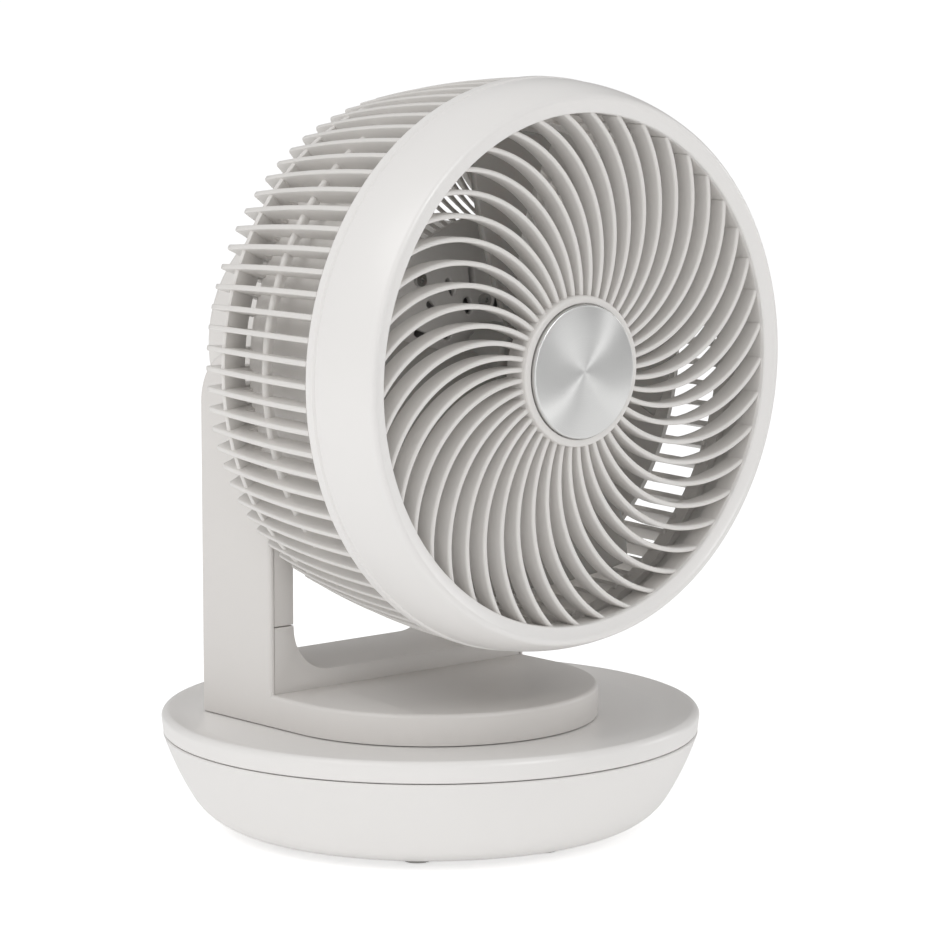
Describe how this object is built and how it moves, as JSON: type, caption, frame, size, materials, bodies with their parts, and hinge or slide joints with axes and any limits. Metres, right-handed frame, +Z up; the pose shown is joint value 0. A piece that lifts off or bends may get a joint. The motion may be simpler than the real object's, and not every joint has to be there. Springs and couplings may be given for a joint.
{
  "type": "desktop air circulator fan",
  "caption": "Desktop air circulator: finned drum head with a swirled front grille, tilting in a forked yoke that swings on a round weighted base.",
  "frame": {"origin": "on the base's centre line, at the surface that its feet stand on", "axes": "+Z up, -Y the way the fan blows, +X to the right seen from the front"},
  "size_m": [0.2506, 0.2436, 0.3401],
  "materials": {
    "ring_white": "smooth warm white moulding",
    "yoke_white": "fine satin warm white moulding",
    "cage_white": "smooth warm white moulding",
    "base_white": "smooth warm white moulding",
    "blade_white": "slightly translucent white moulding",
    "brushed_cap": "spin brushed",
    "steel": "zinc plated",
    "shaft_steel": "ground",
    "winding": "varnished windings and laminations",
    "rubber": "matt",
    "acetal": "natural acetal",
    "board": "solder-masked board",
    "black_plastic": "matt"
  },
  "bodies": {
    "base": {"base_shell": "base_white", "base_cover": "base_white", "ballast_plate": "steel", "rubber_feet": "rubber", "base_screws": "steel", "swing_motor": "steel", "swing_motor_screws": "steel", "control_board": "board", "power_socket": "black_plastic", "glide_ring": "acetal"},
    "pinion": {"drive_pinion": "acetal"},
    "yoke": {"yoke_shell": "yoke_white", "yoke_bracket": "yoke_white", "bracket_screws": "steel", "inner_cover_left": "yoke_white", "inner_cover_right": "yoke_white", "tilt_bush_left": "acetal", "tilt_bush_right": "acetal", "turntable_gear": "acetal", "gear_screws": "steel"},
    "head": {"front_ring": "ring_white", "front_grille": "cage_white", "hub_cap": "brushed_cap", "rear_cage": "cage_white", "rear_housing": "cage_white", "housing_screws": "steel", "trunnion_left": "shaft_steel", "trunnion_right": "shaft_steel", "tilt_clips": "steel", "friction_washers": "acetal", "motor_can": "steel", "motor_end_cap": "steel", "motor_bearings": "shaft_steel", "motor_stator": "winding", "motor_screws": "steel"},
    "rotor": {"motor_rotor": "shaft_steel", "motor_shaft": "shaft_steel", "impeller": "blade_white", "impeller_nut": "blade_white"}
  },
  "joints": [
    {"name": "swing", "type": "hinge", "parent": "base", "child": "yoke", "pos_m": [0, 0, 0.05], "axis": [0, 0, 1], "range_deg": [-60, 60]},
    {"name": "pinion_turn", "type": "hinge", "parent": "base", "child": "pinion", "pos_m": [0, -0.04515, 0.042], "axis": [0, 0, 1], "range_deg": [-245, 245]},
    {"name": "tilt", "type": "hinge", "parent": "yoke", "child": "head", "pos_m": [0, 0.046, 0.1917], "axis": [-1, 0, 0], "range_deg": [0, 90]},
    {"name": "spin", "type": "hinge", "parent": "head", "child": "rotor", "pos_m": [0, -0.05, 0.2148], "axis": [0, 1, 0], "continuous": true}
  ],
  "couplings": [
    {"joint": "pinion_turn", "follows": "swing", "ratio": -4}
  ]
}
